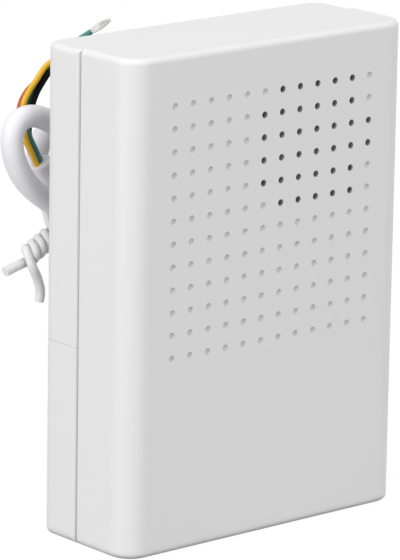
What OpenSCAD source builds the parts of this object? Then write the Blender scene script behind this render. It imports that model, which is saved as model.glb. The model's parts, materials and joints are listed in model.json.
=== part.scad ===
// Wired doorbell chime box: pierced front cover, rear case with a sliding lower cover,
// a small loudspeaker, a circuit board and a four-core cable looped behind the case.
// Millimetres. +Z is up, the front faces -Y, the origin is the middle of the base.

/* [Case] */
// Width of the case
body_w = 86; // [84:1:96]
// Depth of the case from front to back
body_d = 33; // [32:0.5:37]
// Height of the case
body_h = 120.3; // [118:0.1:134]
// Depth of the front cover, from its face to the seam
front_depth = 18.5; // [17.5:0.5:19.5]
// Thickness of the side walls and of the back
wall = 2; // [1.6:0.1:2.2]
// Thickness of the pierced front wall
face_wall = 2.2; // [1.8:0.1:2.6]
// Radius of the two upright front edges
front_r = 6; // [4:0.5:8]
// Radius of the two upright rear edges
rear_r = 4.5; // [3:0.5:6]
// Radius round the top edges
top_r = 1.5; // [1:0.1:2.4]
// Radius round the bottom edges
bottom_r = 1.3; // [0.8:0.1:1.8]
// Width of the groove along the seam
seam_w = 2; // [1.7:0.1:2.4]
// Depth of the groove along the seam
seam_d = 1.2; // [0.6:0.1:1.3]
// Radius of the rear case's shoulder beside the groove
shoulder_r = 1.4; // [1.2:0.1:1.6]
// Height of the sliding lower cover
cover_h = 48.2; // [46:0.2:50]
// Step down from the top of the front cover to the top of the rear case
rear_drop = 0.5; // [0.2:0.1:1]

/* [Dots] */
// Distance between neighbouring dots
dot_pitch = 5.5; // [5:0.1:5.8]
// Number of dots in each row and column
dot_count = 12; // [8:1:12]
// Distance of the top row below the top of the case
dot_from_top = 12.1; // [10:0.1:16]
// Shift of the dots to the right of the middle
dot_shift = 0.4; // [-2:0.1:2]
// Diameter of the pierced dots
hole_d = 1.65; // [1:0.05:2]
// Diameter of a dimple at its mouth
dimple_d = 1.7; // [1:0.1:2]
// Depth of a dimple
dimple_deep = 0.6; // [0.2:0.05:0.7]
// Radius of the pierced patch in front of the speaker
pierced_r = 18.4; // [15:0.2:19]

/* [Speaker] */
// Diameter of the speaker's rim
speaker_d = 40; // [38:0.5:41]
// Place of the speaker's axis across the case, as a share of its width
speaker_share = 0.658; // [0.62:0.001:0.67]
// Distance of the speaker's axis from the top
speaker_from_top = 25.9; // [25:0.1:30]
// Thickness of the foam gasket
gasket_t = 0.7; // [0.5:0.1:1]
// Width of the flat rim that is clamped
rim_w = 2.2; // [2:0.1:2.6]
// Depth of the frame behind the surround
basket_h = 7.6; // [7:0.1:8.4]
// Diameter of the ring magnet
magnet_d = 29; // [26:0.5:31]
// Thickness of the ring magnet
magnet_t = 6; // [5:0.2:7]
// Diameter of the pole in the middle of the magnet
pole_d = 9; // [8.4:0.1:9.4]

/* [Board] */
// Width of the circuit board
board_w = 24; // [23:0.5:25]
// Height of the circuit board
board_h = 44; // [42:1:46]
// Thickness of the circuit board
board_t = 1.6; // [1:0.1:2]
// Margin between the board and the case's left side, as a share of its width
board_margin = 0.058; // [0.052:0.002:0.07]
// Distance of the board below the top of the case
board_from_top = 14.3; // [14:0.1:17]
// Height of the posts under the board
board_post_h = 6.3; // [5.5:0.1:7]

/* [Screws] */
// Diameter of the case screws
case_screw_d = 3; // [2.6:0.1:3.2]
// Diameter of the case screws' heads
case_head_d = 5.6; // [5.2:0.1:5.8]
// Diameter of the speaker screws
clamp_screw_d = 2.2; // [1.8:0.1:2.4]
// Diameter of the speaker screws' wide heads
clamp_head_d = 8; // [7.4:0.2:8.2]
// Diameter of the board screws
board_screw_d = 2; // [1.8:0.1:2.4]

/* [Wall hanging] */
// Distance between the two keyholes
keyhole_spacing = 50; // [40:1:54]
// Diameter of a keyhole's entry
keyhole_d = 9; // [7:0.5:10]
// Width of a keyhole's slot
keyhole_slot = 4; // [3:0.5:5]
// Distance of the keyholes' entries below the top
keyhole_from_top = 22.3; // [20:0.1:26]

/* [Cable] */
// Diameter of the cable's jacket
cable_d = 5.5; // [4.8:0.1:5.6]
// Diameter of each insulated core
core_d = 1.4; // [1.2:0.1:1.5]
// Diameter of the tinned wire ends
tip_d = 0.9; // [0.7:0.1:1.1]
// Diameter of the twist tie
tie_d = 2.2; // [1.8:0.1:2.3]

/* [Fits] */
// Gap between pieces that are screwed together
seat_gap = 0.1; // [0.05:0.05:0.2]
// Gap round the sliding lower cover
slide_gap = 0.4; // [0.3:0.05:0.5]
// Gap between the lower cover's upper edge and the rear case
parting_gap = 0.05; // [0.05:0.05:0.4]
// Gap between the rear case's tongue and the front cover's wall
tongue_gap = 0.2; // [0.1:0.05:0.3]
// Radial gap round a screw in its bore
bore_gap = 0.05; // [0.05:0.05:0.15]

/* [Hidden] */
$fn = 48;

case_white = [0.93, 0.93, 0.93];
steel = [0.75, 0.76, 0.78];
eps = 0.01;

// Case levels
half_w = body_w / 2;
y_front = -body_d / 2;
y_back = body_d / 2;
y_seam = y_front + front_depth;
y_face_in = y_front + face_wall;
y_back_in = y_back - wall;
x_in = half_w - wall;
z_top_in = body_h - wall;
inner_edge_r = tongue_gap;

// Rear case
z_rear_top = body_h - rear_drop;
z_rear_in = z_rear_top - wall;
y_rear = y_seam + seat_gap;
tongue_deep = 2;
tongue_t = 1.5;
y_tongue = y_seam - tongue_deep;
x_tongue = x_in - tongue_gap;
z_tongue_top = z_top_in - tongue_gap;
z_tongue_low = wall + tongue_gap;
z_shell = cover_h + parting_gap;
bulkhead_t = 1.5;
bulkhead_lift = 2.4;
z_bulkhead = z_shell + bulkhead_lift;

// Cell bay
bay_wall = 1.5;
bay_floor_t = 1.8;
bay_deep = 3;
y_bay = y_seam - bay_deep;
y_bay_out = y_bay - bay_floor_t;
x_bay = x_tongue - 3.3;
z_bay = z_tongue_low + 2.7;
bay_wall_h = 12.5;
y_bay_rim = y_bay + bay_wall_h;
rail_t = 1.2;
rail_w = 1.3;
rail_from_rim = 1.3;
y_rail = y_bay_rim - rail_from_rim - rail_t;
rail_low = 6;
cradle_rib_h = 3;
cradle_rib_t = 1.2;
cradle_count = 3;
cradle_margin = 12;

// Lower cover
cover_wall = 1.8;
cover_lap = 0.6;
y_cover = y_seam + cover_lap;
x_cover_in = half_w - cover_wall;
lip_t = 1.8;
lip_reach = x_cover_in - x_bay - bay_wall - slide_gap;
lip_low = 5;
tab_w = 24;
tab_t = 1.1;
tab_rise = 2;
tab_root = 3.2;
grip_count = 5;
grip_pitch = 3;
grip_w = 26;
grip_deep = 0.7;
grip_from_top = 6;

// Case screws: two near the top, two in the bay
case_boss_d = 7;
upper_screw_in = 6.5;
upper_screw_down = 7;
upper_screw = [half_w - upper_screw_in, body_h - upper_screw_down];
lower_screw_in = 3.7;
lower_screw_up = 4.1;
lower_screw = [x_bay - lower_screw_in, z_bay + lower_screw_up];
screw_web = 2;
screw_tube_wall = 0.9;
screw_head_gap = 0.3;
case_head_t = 2.2;
case_shank = 10;
y_upper_boss = y_tongue - 2 * seat_gap;
y_upper_web = y_tongue - seat_gap;
y_lower_boss = y_bay_out - seat_gap;
web_hole_d = case_screw_d + 0.4;

// Speaker, front to back along its axis
speaker_x = speaker_share * body_w - half_w;
speaker_z = body_h - speaker_from_top;
speaker_r = speaker_d / 2;
edge_t = 0.3;
rim_t = 0.8;
frame_t = 0.8;
rim_in = speaker_r - rim_w;
y_edge = y_face_in + gasket_t;
y_rim = y_edge + edge_t;
y_rim_back = y_rim + rim_t;
y_plate = y_rim + basket_h;
plate_t = 2;
y_magnet = y_plate + plate_t;
y_yoke = y_magnet + magnet_t;
y_yoke_back = y_yoke + plate_t;
magnet_r = magnet_d / 2;
basket_back_r = magnet_r - 1.4;
plate_hole = pole_d / 2 + 1.2;
magnet_hole = plate_hole + 2.3;
roll_r = 1.3;
roll_at = rim_in - 0.1 - roll_r;
surround_flat = 1;
cone_r = roll_at - roll_r - 0.1;
coil_in = pole_d / 2 + 0.35;
former_t = 0.25;
coil_out = coil_in + former_t + 0.27;
cone_neck = coil_in + former_t + bore_gap;
cone_t = 0.4;
cone_deep = 4.6;
y_cone_neck = y_rim + cone_deep;
cap_r = cone_neck + 0.8;
cap_rise = 2;
window_w = 13;
rib_gap = 0.3;
rib_t = 1.4;
rib_h = y_rim_back - y_face_in - 0.2;
clamp_ring = speaker_r + 2.8;
clamp_boss_d = 4.8;
clamp_head_t = 1.4;
clamp_shank = 2.4;
clamp_angles = [30, 140, 270];
terminal_w = 9;
terminal_t = 1.4;
terminal_h = 4.5;
lead_d = 1.2;
lead_spread = 2.2;
lug_t = 0.4;
lug_from_rim = 2.8;
lead_leave = 6;
pad_leave = 8;

// Circuit board
board_x0 = board_margin * body_w - half_w;
board_x1 = board_x0 + board_w;
board_z1 = body_h - board_from_top;
board_z0 = board_z1 - board_h;
y_board = y_face_in + board_post_h;
y_parts = y_board + board_t;
board_hole_in = 3;
board_post_d = 5;
board_head_d = 3.8;
board_head_t = 1.4;
board_shank = 6.5;
pad_in = 3;
pad_x = board_x1 - pad_in;
pad_pitch = 3.4;
pad_h = 1.1;
pad_r = 1.3;
core_pads_up = 7;
core_pads_z = board_z0 + core_pads_up;
speaker_pads_down = 11;
speaker_pads_z = board_z1 - speaker_pads_down;
speaker_pad_pitch = 3.4;
y_pad = y_parts + pad_h;
z_amplifier = board_z0 + 0.56 * board_h;
z_sound_chip = board_z0 + 0.32 * board_h;
// Across the board, up, diameter and height of each capacitor
capacitor_list = [[7.5, board_z1 - 8, 8, 11.5], [15.2, board_z1 - 7.5, 6.3, 11], [4.5, z_amplifier, 5, 11]];
amplifier_at = 12.5;
sound_chip_at = 8.5;
regulator_in = 1;
regulator_down = 7.5;
resistor_at = 16.5;
resistor_up = 6;
resistor_pitch = 2.5;

// Cable outlet in the back
outlet_x = 3;
outlet_from_top = 41.8;
outlet = [outlet_x, body_h - outlet_from_top];
grommet_flange = 1.4;
grommet_inner_flange = 1.2;
grommet_d = 12;
grommet_neck_d = 9;
y_outlet = y_back + grommet_flange;
y_inner_end = y_back_in - 7.5;
strain_tie_w = 2.8;
strain_tie_t = 1.1;
core_place = 0.9;
inner_leave = [10, 5, 5, 10];

// Hank behind the case: a slanted plane with s along the runs and w across them.
// Its lead is given from the outlet, the cores and the tie from hank_at, each as x, distance behind the back, z.
hank_from_side = 6.2;
hank_from_top = 28.9;
hank_at = [hank_from_side - half_w, body_h - hank_from_top];
hank_tilt = 34;
hank_clear = 10.5;
layer_gap = 0.6;
layer = cable_d + layer_gap;
y_hank = y_back + hank_clear;
loop_route = [[17, 9.1], [9, 8.2], [3.3, 7.6], [-1.1, 7.2], [-4.8, 6.2], [-7.3, 4.3], [-8.3, 1.7], [-7.4, -1.4],
  [-4.8, -4.4], [-0.7, -7], [4.6, -8.8], [10.5, -9.4], [15.8, -9.6], [22.5, -10.2]];
right_r = 10.6;
right_s = 30;
inner_r = 8.2;
inner_s = 20.2;
inner_w = right_r - inner_r;
turn_r = 7.5;
turn_s = 33;
turn_w = inner_w - inner_r - turn_r;
turn_angle = 215;
tail_route = [[22.5, -12], [14.6, -4.6], [7.2, -1.8]];
lead_route = [[0, 1.6, 0], [-0.6, 4.6, 0.4], [-2.8, 7.6, 1.6], [-6.2, 8.9, 3.5]];

// Cores outside the jacket: a shared route in x and z, then each core's place beside and behind it
core_behind = hank_clear + layer;
core_lead = 0.8;
core_route = [[3.9, -2.2], [2.3, 0.9], [1.9, 5], [2.4, 9], [3.3, 11.9], [5.1, 14.4], [8.2, 17.3]];
core_spread = [
  [[0.7, 0.8], [0.8, -0.8], [-0.8, -0.3], [-1.3, 1.3]],
  [[0.6, 0.8], [0.75, -0.75], [-0.75, -0.1], [-1.2, 1.4]],
  [[1.4, 1.2], [1.2, -0.5], [-0.1, 0.4], [-2.3, 0.6]],
  [[1.6, 1.2], [1.6, -0.3], [-1, 1.3], [-1.6, -0.3]],
  [[0.95, 1.3], [1.4, -0.3], [-1.3, 1.3], [-1.6, -0.3]],
  [[0.2, 1.1], [1, -0.3], [-1.3, 1.3], [-1.5, -0.3]],
  [[0.2, 1.8], [1, -0.5], [-1.1, 0.9], [-1, -0.6]]];
core_ends = [[[11.6, 19.4, 18.2], [16.2, 20.1, 18.4], [21.6, 20.2, 18.4]],
  [[11, 15.4, 19.6], [14, 14.9, 20.2], [17.6, 14.9, 19.7]],
  [[11.6, 16.9, 18.2], [14.6, 16.9, 20.5], [16.6, 16.3, 22.5], [17.8, 15.6, 23.6], [20.4, 15, 25]],
  [[11, 15.2, 17.2], [14, 14.9, 17.5], [17.7, 14.9, 17.2]]];
tip_len = 6;

// Twist tie; its ring is drawn across the runs at s = tie_ring_s, as w and distance behind the back
tie_start = [4.3, 11.5, -21.7];
tie_end = [-1.9, 11.5, -26.1];
tie_twist_r = 1.75;
tie_turns = 1.05;
tie_phase = 90;
tie_ring_s = 22;
tie_rise = [6.8, 17.4, -18.8];
tie_ring = [[-12.8, 23.4], [-9.2, 26.4], [-5.8, 27.6], [-2.7, 26.2], [-1.3, 22.6], [-2.5, 18.2],
  [-4.7, 14.1], [-4.9, 10], [-7.5, 6], [-11.4, 5.7], [-14.7, 7.3]];
tie_stub = [[-5.2, 10.6, -27.6], [-8.2, 11, -29.2]];
tie_tail = [[-1.5, 9.4, -29.1], [0.8, 9.8, -33], [2.1, 10.2, -36.2], [1.5, 10.6, -38.2]];

// Shared shapes

// Quarter of a square corner outside a round of radius r
module corner_cut(r) {
  difference() {
    square(r + 1);
    circle(r);
  }
}

// Section of an outer wall: 0 to t across, 0 to h up, rounded at its outer top and bottom
module edge_section(t, h, r_top, r_low) {
  difference() {
    square([t, h]);
    translate([t - r_top, h - r_top]) corner_cut(r_top);
    translate([t - r_low, r_low]) mirror([0, 1]) corner_cut(r_low);
  }
}

// Box with a rounded face at y = 0, open-ended at y = d, with upright edges of radius r
module soft_box(w, d, h, r, r_top, r_low) {
  translate([-w / 2 + r, d, 0]) rotate([90, 0, 90]) linear_extrude(w - 2 * r)
    mirror([1, 0]) edge_section(d, h, r_top, r_low);
  for (side = [0, 1]) mirror([side, 0, 0]) {
    translate([w / 2 - r, d, 0]) rotate([90, 0, 0]) linear_extrude(d - r)
      edge_section(r, h, r_top, r_low);
    translate([w / 2 - r, r, 0]) rotate([0, 0, -90]) rotate_extrude(angle = 90)
      edge_section(r, h, r_top, r_low);
  }
}

// Plate from y0 to y1 with its outline drawn in x and z
module plate(y0, y1) {
  translate([0, y1, 0]) rotate([90, 0, 0]) linear_extrude(y1 - y0) children();
}

// Rectangle between two corners
module rect(x0, x1, z0, z1) {
  translate([x0, z0]) square([x1 - x0, z1 - z0]);
}

module block(x0, x1, y0, y1, z0, z1) {
  translate([x0, y0, z0]) cube([x1 - x0, y1 - y0, z1 - z0]);
}

// Round rod along Y
module rod(at, d, y0, y1) {
  translate([at[0], y1, at[1]]) rotate([90, 0, 0]) cylinder(d = d, h = y1 - y0);
}

// Solid turned about an axis along Y; its section is drawn as radius and y
module turned(at) {
  translate([at[0], 0, at[1]]) rotate([-90, 0, 0]) rotate_extrude() children();
}

module both_sides() {
  children();
  mirror([1, 0, 0]) children();
}

// Four places of the case screws
module at_screws(place) {
  both_sides() translate([place[0], 0, place[1]]) children();
}

// Curves and tubes

function unit(v) = v / norm(v);
function ease(t) = t * t * (3 - 2 * t);

// Smooth curve through points, with n steps from each to the next
function curve_point(a, b, c, d, t) =
  0.5 * (2 * b + (c - a) * t + (2 * a - 5 * b + 4 * c - d) * t * t + (3 * b - a - 3 * c + d) * t * t * t);
function curve(p, n) = concat([for (i = [0 : len(p) - 2], k = [0 : n - 1])
  curve_point(p[max(i - 1, 0)], p[i], p[i + 1], p[min(i + 2, len(p) - 1)], k / n)], [p[len(p) - 1]]);

// Wire from a to b that leaves a along da and reaches b along db
function wire(a, da, b, db, n = 12) = concat([a], [for (k = [0 : n]) let (t = k / n, u = 1 - t,
    p = a + 0.12 * da, q = b + 0.12 * db)
  u * u * u * p + 3 * u * u * t * (a + da) + 3 * u * t * t * (b + db) + t * t * t * q], [b]);

// Directions across a path, carried along it without twist
function path_dir(p, i) = unit(p[min(i + 1, len(p) - 1)] - p[max(i - 1, 0)]);
function square_to(v, d) = unit(v - (v * d) * d);
function across(p) = [for (i = 0, v = square_to([0.3, 0.5, 0.8], path_dir(p, 0)); i < len(p);
  i = i + 1, v = square_to(v, path_dir(p, min(i, len(p) - 1)))) v];

module tube(p, d, sides = 8) {
  side = across(p);
  points = [for (i = [0 : len(p) - 1], k = [0 : sides - 1]) let (a = 360 * k / sides)
    p[i] + d / 2 * (cos(a) * side[i] + sin(a) * cross(path_dir(p, i), side[i]))];
  last = (len(p) - 1) * sides;
  faces = concat(
    [for (i = [0 : len(p) - 2], k = [0 : sides - 1], half = [0, 1]) let (a = i * sides,
        b = a + sides, m = (k + 1) % sides)
      half == 0 ? [a + k, b + k, b + m] : [a + k, b + m, a + m]],
    [for (k = [1 : sides - 2]) [0, k, k + 1]],
    [for (k = [1 : sides - 2]) [last, last + k + 1, last + k]]);
  polyhedron(points, faces, convexity = 6);
}

// Least distance between points of a path that are more than skip apart along it
function least_gap(p, skip) = min([for (i = [0 : len(p) - 1 - skip], k = [i + skip : len(p) - 1])
  norm(p[i] - p[k])]);

// Case

function is_pierced(x, z) = norm([x - speaker_x, z - speaker_z]) < pierced_r;

dots = [for (row = [0 : dot_count - 1], col = [0 : dot_count - 1])
  [(col - (dot_count - 1) / 2) * dot_pitch + dot_shift, body_h - dot_from_top - row * dot_pitch]];

// Radius of the sphere whose cap has mouth radius a and height h
function cap_radius(a, h) = (a * a + h * h) / (2 * h);
dimple_r = cap_radius(dimple_d / 2, dimple_deep);

module clamp_places() {
  for (a = clamp_angles)
    translate([speaker_x + clamp_ring * cos(a), 0, speaker_z + clamp_ring * sin(a)]) children();
}

module board_places() {
  for (x = [board_x0 + board_hole_in, board_x1 - board_hole_in],
       z = [board_z0 + board_hole_in, board_z1 - board_hole_in])
    translate([x, 0, z]) children();
}

module front_shell() {
  difference() {
    translate([0, y_front, 0]) soft_box(body_w, front_depth, body_h, front_r, top_r, bottom_r);
    translate([0, y_face_in, wall])
      soft_box(2 * x_in, front_depth, body_h - 2 * wall, front_r - wall, inner_edge_r, inner_edge_r);
  }
}

module front_cover() color(case_white) difference() {
  union() {
    front_shell();
    at_screws(upper_screw) rod([0, 0], case_boss_d, y_face_in - 0.5, y_upper_boss);
    at_screws(lower_screw) rod([0, 0], case_boss_d, y_face_in - 0.5, y_lower_boss);
    turned([speaker_x, speaker_z])
      rect(speaker_r + rib_gap, speaker_r + rib_gap + rib_t, y_face_in - 0.5, y_face_in + rib_h);
    clamp_places() rod([0, 0], clamp_boss_d, y_face_in - 0.5, y_rim_back);
    board_places() rod([0, 0], board_post_d, y_face_in - 0.5, y_board);
  }
  at_screws(upper_screw) rod([0, 0], case_screw_d + 2 * bore_gap, y_face_in, y_upper_boss + 1);
  at_screws(lower_screw) rod([0, 0], case_screw_d + 2 * bore_gap, y_face_in, y_lower_boss + 1);
  clamp_places() rod([0, 0], clamp_screw_d + 2 * bore_gap, y_rim_back - clamp_shank - 0.2, y_rim_back + 1);
  board_places() rod([0, 0], board_screw_d + 2 * bore_gap, y_face_in, y_board + 1);
  turned([speaker_x, speaker_z]) rect(0, speaker_r + rib_gap, y_face_in, y_seam);
  for (dot = dots)
    if (is_pierced(dot[0], dot[1])) rod(dot, hole_d, y_front - 1, y_face_in + 1);
    else translate([dot[0], y_front + dimple_deep - dimple_r, dot[1]]) sphere(dimple_r, $fn = 24);
}

// Plan of the rear half: full width, drawn in round a shoulder to the groove beside the seam
module shoulder_section() {
  rect(-half_w + seam_d, half_w - seam_d, y_rear, y_back + 1);
  rect(-half_w, half_w, y_seam + seam_w, y_back + 1);
  for (s = [-1, 1]) translate([s * (half_w - shoulder_r), y_seam + seam_w]) circle(shoulder_r);
}

// Outside of the rear half, with the groove down both sides
module rear_outside() {
  intersection() {
    translate([0, y_back, 0]) mirror([0, 1, 0])
      soft_box(body_w, y_back - y_rear, z_rear_top, rear_r, top_r, bottom_r);
    translate([0, 0, -1]) linear_extrude(body_h + 2) shoulder_section();
  }
}

module rear_inside(w, d_back, z0, z1, r) {
  translate([0, d_back, z0]) mirror([0, 1, 0])
    soft_box(w, d_back - y_tongue + 1, z1 - z0, r, inner_edge_r, inner_edge_r);
}

module keyhole() {
  circle(d = keyhole_d);
  translate([-keyhole_slot / 2, 0]) square([keyhole_slot, keyhole_d]);
  translate([0, keyhole_d]) circle(d = keyhole_slot);
}

module upper_shell() {
  difference() {
    intersection() {
      rear_outside();
      block(-half_w, half_w, y_rear, y_back, z_shell, body_h);
    }
    rear_inside(2 * x_in, y_back_in, wall, z_rear_in, rear_r - wall);
  }
}

// Rim that reaches into the front cover and lines the two halves up
module tongue() {
  difference() {
    union() {
      plate(y_tongue, y_rear + tongue_t) rect(-x_tongue, x_tongue, z_bulkhead, z_tongue_top);
      plate(y_rear, y_rear + tongue_t) rect(-x_in - eps, x_in + eps, z_bulkhead, z_rear_in + eps);
    }
    plate(y_tongue - 1, y_rear + tongue_t + 1)
      rect(-x_tongue + tongue_t, x_tongue - tongue_t, z_bulkhead - 1, z_tongue_top - tongue_t);
  }
}

// Tray for cells, closed by the lower cover
module cell_bay() {
  x_out = x_bay + bay_wall;
  z_roof = z_bulkhead + bulkhead_t;
  plate(y_bay_out, y_bay) rect(-x_out, x_out, z_bay - bay_wall, z_roof);
  difference() {
    union() {
      plate(y_bay_out, y_bay_rim) rect(-x_out, x_out, z_bay - bay_wall, z_roof);
      plate(y_tongue, y_seam) rect(-x_tongue, x_tongue, z_tongue_low, z_roof);
    }
    plate(y_bay_out - 1, y_bay_rim + 1) rect(-x_bay, x_bay, z_bay, z_bulkhead);
  }
  plate(y_tongue, y_back_in + eps) rect(-x_tongue, x_tongue, z_bulkhead, z_roof);
  plate(y_rear, y_back_in + eps) rect(-x_in - eps, x_in + eps, z_bulkhead, z_roof);
  both_sides() block(x_out - eps, x_out + rail_w, y_rail, y_rail + rail_t, rail_low, z_bulkhead);
  for (k = [1 : cradle_count - 1])
    block(-x_bay + cradle_margin, x_bay - cradle_margin, y_bay - eps, y_bay + cradle_rib_h,
      z_bay + k * (z_bulkhead - z_bay) / cradle_count - cradle_rib_t / 2,
      z_bay + k * (z_bulkhead - z_bay) / cradle_count + cradle_rib_t / 2);
}

module rear_case() color(case_white) difference() {
  union() {
    upper_shell();
    tongue();
    cell_bay();
    at_screws(upper_screw)
      rod([0, 0], case_head_d + 2 * (screw_head_gap + screw_tube_wall), y_upper_web, y_back_in + eps);
  }
  at_screws(upper_screw) {
    rod([0, 0], case_head_d + 2 * screw_head_gap, y_upper_web + screw_web, y_back + 1);
    rod([0, 0], web_hole_d, y_upper_web - 1, y_back);
  }
  at_screws(lower_screw) rod([0, 0], web_hole_d, y_bay_out - 1, y_bay + 1);
  for (s = [-1, 1]) translate([s * keyhole_spacing / 2, 0, body_h - keyhole_from_top])
    plate(y_back_in - 1, y_back + 1) keyhole();
  rod(outlet, grommet_neck_d + 2 * bore_gap, y_back_in - 1, y_back + 1);
}

module lower_cover() color(case_white) difference() {
  union() {
    difference() {
      intersection() {
        rear_outside();
        block(-half_w, half_w, y_cover, y_back, 0, cover_h);
      }
      rear_inside(2 * x_cover_in, y_back_in, cover_wall, body_h, rear_r - cover_wall);
    }
    both_sides() block(x_cover_in - lip_reach, x_cover_in + eps, y_rail - slide_gap - lip_t,
      y_rail - slide_gap, lip_low, cover_h - 2);
    block(-tab_w / 2, tab_w / 2, y_back_in - slide_gap / 2 - tab_t, y_back_in - slide_gap / 2,
      cover_h - tab_root, z_shell + tab_rise);
    block(-tab_w / 2, tab_w / 2, y_back_in - slide_gap / 2 - tab_t, y_back_in + eps,
      cover_h - tab_root, cover_h);
  }
  for (k = [0 : grip_count - 1])
    translate([-grip_w / 2, y_back - grip_deep, cover_h - grip_from_top - k * grip_pitch])
      cube([grip_w, grip_deep + 1, grip_pitch / 2]);
}

// Pan-head screw along -Y with its seat at y = 0
module screw(d, shank, head_d, head_t, slot) {
  difference() {
    union() {
      rod([0, 0], d, -shank, 0);
      rod([0, 0], head_d, 0, head_t);
    }
    for (a = [0, 90]) rotate([0, a, 0])
      block(-slot / 2, slot / 2, head_t / 2, head_t + 1, -head_d / 4, head_d / 4);
  }
}

module case_screws() color(steel) {
  at_screws(upper_screw) translate([0, y_upper_web + screw_web, 0])
    screw(case_screw_d, case_shank, case_head_d, case_head_t, 0.8);
  at_screws(lower_screw) translate([0, y_bay, 0])
    screw(case_screw_d, case_shank, case_head_d, case_head_t, 0.8);
}

// Speaker

module speaker_turned() {
  turned([speaker_x, speaker_z]) children();
}

module speaker_gasket() color("dimgray") speaker_turned()
  rect(rim_in, speaker_r, y_face_in, y_edge);

module speaker_surround() color([0.15, 0.15, 0.15]) speaker_turned() {
  rect(roll_at + roll_r - edge_t, speaker_r, y_edge, y_rim);
  rect(cone_r - surround_flat, roll_at - roll_r + edge_t, y_edge, y_rim);
  translate([roll_at, y_edge]) intersection() {
    difference() {
      circle(roll_r);
      circle(roll_r - edge_t);
    }
    rect(-roll_r, roll_r, 0, roll_r);
  }
}

module speaker_frame() color(steel) difference() {
  speaker_turned() polygon([[rim_in, y_rim], [speaker_r, y_rim], [speaker_r, y_rim_back],
    [rim_in + 0.6, y_rim_back], [basket_back_r, y_plate], [plate_hole + 0.9, y_plate],
    [plate_hole + 0.9, y_plate - frame_t], [basket_back_r - 0.5, y_plate - frame_t],
    [rim_in - 0.2, y_rim + rim_t / 2]]);
  translate([speaker_x, 0, speaker_z]) for (a = [45 : 90 : 315]) rotate([0, a, 0])
    block(basket_back_r, speaker_r, y_rim_back + 0.9, y_plate - frame_t - 0.7, -window_w / 2, window_w / 2);
}

module speaker_cone() color([0.2, 0.2, 0.22]) speaker_turned()
  polygon([[cone_r, y_rim], [cone_r, y_rim + cone_t], [cone_r - 0.4, y_rim + cone_t],
    [cone_neck, y_cone_neck + cone_t], [cone_neck, y_cone_neck], [cone_r - 0.5, y_rim]]);

// Dome over the voice coil, seated on the front of the cone
module speaker_dust_cap() color([0.12, 0.12, 0.13]) {
  dome_r = cap_radius(cap_r, cap_rise);
  slope = (y_cone_neck - y_rim) / (cone_r - 0.5 - cone_neck);
  y_cap = y_cone_neck - slope * (cap_r - cone_neck) - bore_gap;
  speaker_turned() translate([0, y_cap - cap_rise + dome_r]) difference() {
    circle(dome_r);
    circle(dome_r - cone_t);
    rect(-2 * dome_r, 0, -2 * dome_r, 2 * dome_r);
    rect(-eps, 2 * dome_r, cap_rise - dome_r, 2 * dome_r);
  }
}

module speaker_voice_coil() color([0.72, 0.45, 0.2]) speaker_turned() {
  rect(coil_in, coil_in + former_t, y_cone_neck - 0.2, y_magnet + 0.2);
  rect(coil_in + former_t, coil_out, y_plate - 0.2, y_magnet);
}

module speaker_top_plate() color(steel) speaker_turned()
  rect(plate_hole, magnet_r - 0.5, y_plate, y_magnet);

module speaker_magnet() color([0.25, 0.25, 0.27]) speaker_turned()
  rect(magnet_hole, magnet_r, y_magnet, y_yoke);

module speaker_yoke() color(steel) speaker_turned() {
  rect(0, magnet_r - 2, y_yoke, y_yoke_back);
  rect(0, pole_d / 2, y_plate, y_yoke + eps);
}

// Tag board on the rim with a solder lug for each lead
module speaker_terminal() color([0.55, 0.4, 0.22]) {
  x = speaker_x - speaker_r;
  block(x, x + terminal_t, y_rim_back, y_rim_back + terminal_h,
    speaker_z - terminal_w / 2, speaker_z + terminal_w / 2);
  for (s = [-1, 1]) block(x - lug_t, x + eps, y_rim_back + 1.6, y_rim_back + terminal_h - 0.5,
    speaker_z + s * lead_spread - 1.2, speaker_z + s * lead_spread + 1.2);
}

module speaker_screws() color(steel) clamp_places() translate([0, y_rim_back, 0])
  screw(clamp_screw_d, clamp_shank, clamp_head_d, clamp_head_t, 0.7);

function speaker_lead(s) = wire(
  [speaker_x - speaker_r - lug_t - lead_d / 2, y_rim_back + lug_from_rim, speaker_z + s * lead_spread],
  [0, lead_leave, 0], [pad_x, y_pad, speaker_pads_z + s * speaker_pad_pitch / 2], [0, pad_leave, 0]);

module speaker_lead_red() color("red") tube(speaker_lead(1), lead_d);
module speaker_lead_black() color([0.1, 0.1, 0.1]) tube(speaker_lead(-1), lead_d);

// Circuit board and its parts

module circuit_board() color([0.1, 0.4, 0.2]) difference() {
  block(board_x0, board_x1, y_board, y_parts, board_z0, board_z1);
  board_places() rod([0, 0], board_screw_d + 0.4, y_board - 1, y_parts + 1);
}

module board_screws() color(steel) board_places() translate([0, y_parts, 0])
  screw(board_screw_d, board_shank, board_head_d, board_head_t, 0.6);

// Drop of epoxy over the bare sound chip
module sound_chip() color([0.08, 0.08, 0.08]) {
  drop_r = 4.6;
  drop_h = 1.7;
  dome_r = cap_radius(drop_r, drop_h);
  turned([board_x0 + sound_chip_at, z_sound_chip]) translate([0, y_parts]) intersection() {
    translate([0, drop_h - dome_r]) circle(dome_r);
    rect(0, drop_r + 1, 0, drop_h + 1);
  }
}

module amplifier_chip() color([0.1, 0.1, 0.11]) {
  body = [6.4, 3.2, 9.6];
  lift = 0.6;
  translate([board_x0 + amplifier_at, y_parts, z_amplifier]) {
    block(-body[0] / 2, body[0] / 2, lift, lift + body[1], -body[2] / 2, body[2] / 2);
    both_sides() for (k = [-1.5 : 1 : 1.5])
      block(body[0] / 2 - eps, body[0] / 2 + 0.7, 0, lift + body[1] / 2, 2.54 * k - 0.4, 2.54 * k + 0.4);
  }
}

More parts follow.
